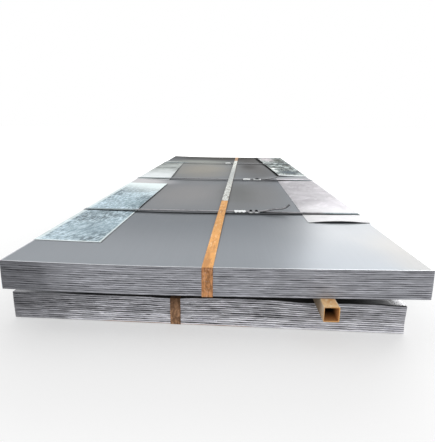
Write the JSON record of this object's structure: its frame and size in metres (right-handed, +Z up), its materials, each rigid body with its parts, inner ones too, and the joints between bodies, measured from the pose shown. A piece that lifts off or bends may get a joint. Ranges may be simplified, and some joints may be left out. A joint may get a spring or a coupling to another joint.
{
  "type": "strapped steel plate stack",
  "caption": "Strapped packs of flat steel plate laid on one another with square steel tubes between them and sheet metal covers under the cross straps.",
  "frame": {"origin": "middle of the bounding box on the floor, at the underside of the lower pack's cross straps", "axes": "+Z up, +Y along the plates from the end where the tube stands out, +X to the right seen from that end"},
  "size_m": [1.3714, 3.8136, 0.2676],
  "materials": {
    "plate_upper": "hot rolled mill finish, semi-gloss",
    "plate_lower": "hot rolled mill finish, semi-gloss",
    "strap_rusted": "rusted",
    "strap_rusted_dark": "rusted, dark",
    "strap_zinc": "zinc coated, speckled",
    "strap_plain": "plain steel, dull",
    "seal": "zinc coated",
    "cover_spangle": "galvanised, blue-white mottled",
    "cover_dull": "galvanised, dull",
    "cover_plain": "galvanised, plain",
    "cover_dark": "galvanised, dark mottled",
    "tube_rusted": "rusted"
  },
  "bodies": {
    "root": {"cover_left_front": "cover_spangle", "cover_left_rear": "cover_dull", "cover_right_front": "cover_plain", "cover_right_rear": "cover_dark", "lower_cross_strap_1": "strap_plain", "lower_cross_strap_2": "strap_plain", "lower_cross_strap_3": "strap_plain", "lower_long_strap": "strap_rusted_dark", "lower_plate_01": "plate_lower", "lower_plate_02": "plate_lower", "lower_plate_03": "plate_lower", "lower_plate_04": "plate_lower", "lower_plate_05": "plate_lower", "lower_plate_06": "plate_lower", "lower_plate_07": "plate_lower", "lower_plate_08": "plate_lower", "lower_plate_09": "plate_lower", "lower_plate_10": "plate_lower", "lower_plate_11": "plate_lower", "lower_plate_12": "plate_lower", "lower_plate_13": "plate_lower", "seal_1a": "seal", "seal_1b": "seal", "seal_2a": "seal", "seal_2b": "seal", "seal_3": "seal", "tube_left": "tube_rusted", "tube_right": "tube_rusted", "upper_cross_strap_1": "strap_plain", "upper_cross_strap_2": "strap_plain", "upper_cross_strap_3": "strap_plain", "upper_long_strap": "strap_rusted", "upper_plate_01": "plate_upper", "upper_plate_02": "plate_upper", "upper_plate_03": "plate_upper", "upper_plate_04": "plate_upper", "upper_plate_05": "plate_upper", "upper_plate_06": "plate_upper", "upper_plate_07": "plate_upper", "upper_plate_08": "plate_upper", "upper_plate_09": "plate_upper", "upper_plate_10": "plate_upper", "upper_plate_11": "plate_upper", "upper_plate_12": "plate_upper", "upper_plate_13": "plate_upper", "upper_strap_zinc_length": "strap_zinc"}
  },
  "joints": []
}
